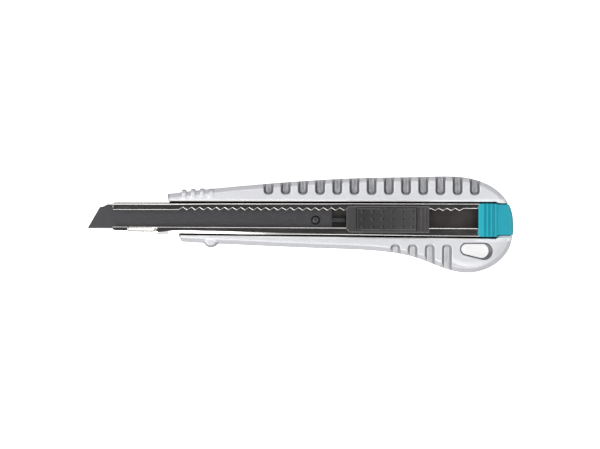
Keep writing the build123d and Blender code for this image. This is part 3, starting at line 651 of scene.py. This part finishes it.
def guide_stations():
    """Places along the guide where its section changes."""
    lo, hi = GUIDE_LO.x, GUIDE_HI.x
    stations = [lo + GUIDE_CORNER * share for share in CORNER_SPLITS]
    for x, run in zip(CRIMP_X, (CRIMP_SLOPES[0], -CRIMP_SLOPES[1])):
        stations += [x + run * i / CRIMP_STEPS for i in range(CRIMP_STEPS + 1)]
    stations += [UPPER_LIP_SPLIT, FIRST_NOTCH_X - TOOTH_PITCH / 2]
    for i in range(TOOTH_COUNT):
        stations += [FIRST_NOTCH_X + (i - 0.5 + share) * TOOTH_PITCH for share in TOOTH_SPLITS]
    stations += [FIRST_NOTCH_X + (TOOTH_COUNT - 0.5) * TOOTH_PITCH]
    stations += [FIRST_NOTCH_X + TOOTH_COUNT * TOOTH_PITCH, hi]
    stations = sorted(set(round(x, 3) for x in stations if lo - 1e-6 <= x <= hi + 1e-6))
    return [x for i, x in enumerate(stations) if i == 0 or x - stations[i - 1] > 0.01]


def rolled_guide():
    """The guide with rounded bends, round-tipped teeth and a crimp near the nose."""
    bm = bmesh.new()
    skin(bm, [[bm.verts.new(Vector(p) * MM) for p in guide_section(x)] for x in guide_stations()])
    new_piece("rolled_guide", bm, "guide_steel", "handle", "blade_guide")


rolled_guide()


def cast_copy(name, node, body, voxel, rounds, keep):
    """A copy of a CAD node with every edge rounded off, as a die casting has."""
    bm = bmesh.new()
    bm.from_mesh(NODES[node].data)
    bmesh.ops.remove_doubles(bm, verts=bm.verts, dist=0.002 * MM)
    piece = new_piece(name, bm, SLOT_OF[node], body, node)
    remesh = piece.modifiers.new("even_mesh", "REMESH")
    remesh.mode = "VOXEL"
    remesh.voxel_size = voxel
    remesh.use_smooth_shade = True
    smooth = piece.modifiers.new("worn_edges", "SMOOTH")
    smooth.factor = 0.5
    smooth.iterations = rounds
    thin = piece.modifiers.new("thin_out", "DECIMATE")
    thin.ratio = keep
    graph = bpy.context.evaluated_depsgraph_get()
    mesh = bpy.data.meshes.new_from_object(piece.evaluated_get(graph))
    piece.modifiers.clear()
    piece.data = mesh
    lo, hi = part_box(node)
    for vertex in mesh.vertices:
        vertex.co = [min(max(c, low), high) for c, low, high in zip(vertex.co, lo, hi)]
    return piece


cast_copy("worn_casting", "handle_casting", "handle", 0.18 * MM, 2, 0.3)


def leaf_spring():
    """The bowed leaf, its feet rolled up and its edges broken."""
    lo, hi = (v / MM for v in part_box("return_spring"))
    thick, corner, steps = 0.2, 0.04, 40
    half_run, rise = (hi.x - lo.x) / 2, hi.z - lo.z - thick
    toe, toe_rise = 0.07, 0.18  # share of the run at each end that curls up, and how far
    bm = bmesh.new()
    rings = []
    for i in range(steps + 1):
        along = 2 * i / steps - 1
        bow = (1 - (along / (1 - toe)) ** 2) * rise
        if abs(along) > 1 - toe:
            bow = toe_rise * ((abs(along) - 1 + toe) / toe) ** 2
        x, z = (lo.x + hi.x) / 2 + half_run * along, lo.z + bow
        insets = (corner, 0.0, 0.0, corner)
        profile = list(zip(insets, (z, z + corner, z + thick - corner, z + thick)))
        section = [(hi.y - inset, height) for inset, height in profile]
        section += [(lo.y + inset, height) for inset, height in reversed(profile)]
        rings.append([bm.verts.new(Vector((x, y, z)) * MM) for y, z in section])
    skin(bm, rings)
    piece = new_piece("leaf_spring", bm, "carrier_steel", "carriage", "return_spring")
    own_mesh(piece)


leaf_spring()


# ---- floor -------------------------------------------------------------------------------------
FLOOR_HALF = 1.5
FLOOR_Z = -0.05 * MM


def floor():
    """A pale tabletop under the knife, seen only from above."""
    mesh = bpy.data.meshes.new("floor")
    bm = bmesh.new()
    bmesh.ops.create_grid(bm, x_segments=8, y_segments=8, size=FLOOR_HALF)
    bm.to_mesh(mesh)
    bm.free()
    obj = bpy.data.objects.new("floor", mesh)
    bpy.context.scene.collection.objects.link(obj)
    obj.location = (0, 0, FLOOR_Z)
    obj.visible_diffuse = False
    obj.visible_glossy = False
    obj.visible_shadow = False
    m = Mat("floor_board")
    fibre = m.noise(1.2 * MM, detail=4.0)
    m.feed("Base Color", m.mix(fibre, (0.93, 0.93, 0.93), (0.96, 0.96, 0.96)))
    m.set(Roughness=0.9, Specular_IOR_Level=0.0, Emission_Color=(1, 1, 1, 1), Emission_Strength=0.8)
    clear = m.node("BsdfTransparent")
    either = m.node("MixShader")
    back = m.node("NewGeometry").outputs["Backfacing"]
    m.link(back, either.inputs[0])
    m.link(m.shader.outputs[0], either.inputs[1])
    m.link(clear.outputs[0], either.inputs[2])
    m.link(either.outputs[0], m.tree.nodes["Material Output"].inputs["Surface"])
    mesh.materials.append(m.mat)


floor()


# ---- light -------------------------------------------------------------------------------------
def area_light(name, place, size, power):
    """A rectangular lamp at a place in metres, turned to the middle of the knife."""
    data = bpy.data.lights.new(name, "AREA")
    data.shape = "RECTANGLE"
    data.size, data.size_y = size
    data.energy = power
    obj = bpy.data.objects.new(name, data)
    obj.location = place
    obj.rotation_euler = (-Vector(place)).to_track_quat("-Z", "Y").to_euler()
    bpy.context.scene.collection.objects.link(obj)


area_light("key", (-0.75, -0.30, 0.85), (0.9, 0.9), 6.8)
area_light("side", (0.75, 0.0, 0.9), (0.9, 0.9), 3.6)
area_light("strip_near", (-0.25, -0.75, 0.85), (1.4, 0.25), 3.2)
area_light("strip_far", (-0.25, 0.75, 0.85), (1.4, 0.25), 2.5)
area_light("under", (0.2, -0.3, -0.9), (1.2, 1.2), 5.0)


def studio_world():
    """Soft grey surroundings, dark straight overhead and below the table."""
    world = bpy.data.worlds.new("studio")
    world.use_nodes = True
    tree = world.node_tree
    background = tree.nodes["Background"]
    split = tree.nodes.new("ShaderNodeSeparateXYZ")
    tree.links.new(tree.nodes.new("ShaderNodeTexCoord").outputs["Generated"], split.inputs[0])
    ramp = tree.nodes.new("ShaderNodeValToRGB")
    steps = ((0.0, 0.1), (0.5, 0.2), (0.53, 0.52), (0.94, 0.52), (0.985, 0.04))
    while len(ramp.color_ramp.elements) < len(steps):
        ramp.color_ramp.elements.new(0.5)
    for element, (place, level) in zip(ramp.color_ramp.elements, steps):
        element.position = place
        element.color = (level, level, level, 1)
    half = tree.nodes.new("ShaderNodeMath")
    half.operation = "MULTIPLY_ADD"
    half.inputs[1].default_value = 0.5
    half.inputs[2].default_value = 0.5
    tree.links.new(split.outputs[2], half.inputs[0])
    tree.links.new(half.outputs[0], ramp.inputs[0])
    tree.links.new(ramp.outputs[0], background.inputs["Color"])
    bpy.context.scene.world = world


studio_world()


# ---- camera ------------------------------------------------------------------------------------
VIEW_WIDTH = 206.4 * MM  # width of the picture, at the height of the guide's lips
VIEW_DISTANCE = 600 * MM
VIEW_CENTRE = (-4.3 * MM, -1.9 * MM)
VIEW_ROLL = 0.0027  # radians

camera_data = bpy.data.cameras.new("camera")
camera_data.sensor_width = 36.0
camera_data.lens = camera_data.sensor_width * VIEW_DISTANCE / VIEW_WIDTH
camera = bpy.data.objects.new("camera", camera_data)
camera.location = (*VIEW_CENTRE, GUIDE_TOP_Z + VIEW_DISTANCE)
camera.rotation_euler = (0, 0, VIEW_ROLL)
bpy.context.scene.collection.objects.link(camera)
bpy.context.scene.camera = camera
bpy.context.scene.view_settings.view_transform = "Standard"
